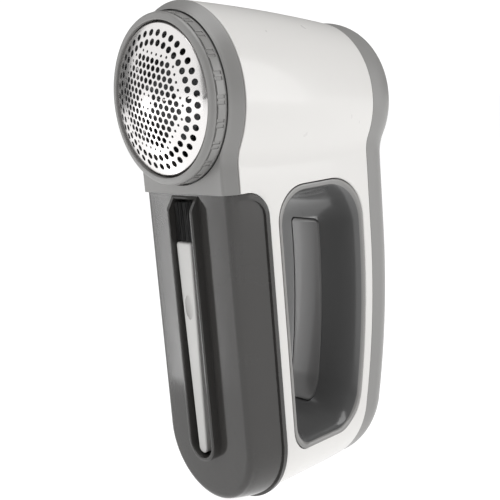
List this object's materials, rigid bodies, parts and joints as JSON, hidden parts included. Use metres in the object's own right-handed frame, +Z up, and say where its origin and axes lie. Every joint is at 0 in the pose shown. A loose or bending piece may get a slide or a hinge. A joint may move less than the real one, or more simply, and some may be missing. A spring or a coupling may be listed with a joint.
{
  "type": "fabric shaver",
  "caption": "Hand-held fabric shaver with a round perforated foil head, an upright loop handle and a smoky slide-off lint catcher that stores a cleaning brush.",
  "frame": {"origin": "bottom centre of the bounding box: the mirror plane, mid depth, at the lowest point of the rounded base", "axes": "+X to the right as seen from the front, -Y out of the shaving foil, +Z up along the handle"},
  "size_m": [0.0696, 0.0992, 0.1946],
  "materials": {
    "satin_white_shell": "satin",
    "frame_grey": "satin",
    "liner_grey": "gloss",
    "smoke_clear": "translucent smoke, gloss",
    "polished_steel": "polished",
    "spring_steel": "bright",
    "engineering_plastic": "matte",
    "black_plastic": "matte",
    "nylon_bristle": "matte",
    "brass_contact": "bright",
    "cell_wrap": "satin",
    "signal_red": "matte"
  },
  "bodies": {
    "housing": {"main_shell": "satin_white_shell", "front_frame": "frame_grey", "rear_cover": "frame_grey", "loop_liner_right": "liner_grey", "loop_liner_left": "liner_grey", "bulkhead": "engineering_plastic", "case_screw_1": "spring_steel", "case_screw_2": "spring_steel", "case_screw_3": "spring_steel", "case_screw_4": "spring_steel", "fan_housing": "engineering_plastic", "lint_chute": "engineering_plastic", "motor_mount": "engineering_plastic", "motor_can": "spring_steel", "motor_bearing": "brass_contact", "motor_end_cap": "black_plastic", "battery_tray": "black_plastic", "battery_cell_right": "cell_wrap", "battery_cell_left": "cell_wrap", "contact_link_top": "brass_contact", "contact_tab_right": "brass_contact", "contact_tab_left": "brass_contact", "contact_coil_right": "spring_steel", "contact_coil_left": "spring_steel", "trigger_spring_1": "spring_steel", "trigger_spring_2": "spring_steel", "switch_plate": "engineering_plastic", "switch_body": "black_plastic"},
    "guard": {"guard_ring": "frame_grey", "shaving_foil": "polished_steel", "foil_retainer": "engineering_plastic"},
    "rotor": {"blade_carrier": "engineering_plastic", "cutter_blade_1": "polished_steel", "cutter_blade_2": "polished_steel", "cutter_blade_3": "polished_steel", "carrier_spring": "spring_steel", "drive_shaft": "spring_steel", "suction_fan": "black_plastic"},
    "trigger": {"power_trigger": "liner_grey", "switch_plunger": "signal_red"},
    "catcher": {"lint_catcher": "smoke_clear", "catcher_back": "smoke_clear"},
    "brush": {"brush_handle": "satin_white_shell", "brush_bristles": "nylon_bristle"},
    "door": {"battery_door": "frame_grey"}
  },
  "joints": [
    {"name": "guard_twist", "type": "hinge", "parent": "housing", "child": "guard", "pos_m": [0, -0.041, 0.1598], "axis": [0, 1, 0], "range_deg": [0, 30]},
    {"name": "rotor_spin", "type": "hinge", "parent": "housing", "child": "rotor", "pos_m": [0, -0.041, 0.1598], "axis": [0, 1, 0], "continuous": true},
    {"name": "trigger_press", "type": "slide", "parent": "housing", "child": "trigger", "axis": [0, 1, 0], "range_m": [0, 0.0015], "stiffness_N_per_m": 900, "springref_m": -0.0006},
    {"name": "catcher_slide", "type": "slide", "parent": "housing", "child": "catcher", "axis": [0, 0, -1], "range_m": [0, 0.04]},
    {"name": "brush_lift", "type": "slide", "parent": "catcher", "child": "brush", "axis": [0, -1, 0], "range_m": [0, 0.014]},
    {"name": "door_hinge", "type": "hinge", "parent": "housing", "child": "door", "pos_m": [0, 0.0493, 0.0873], "axis": [-1, 0, 0], "range_deg": [0, 100]}
  ]
}
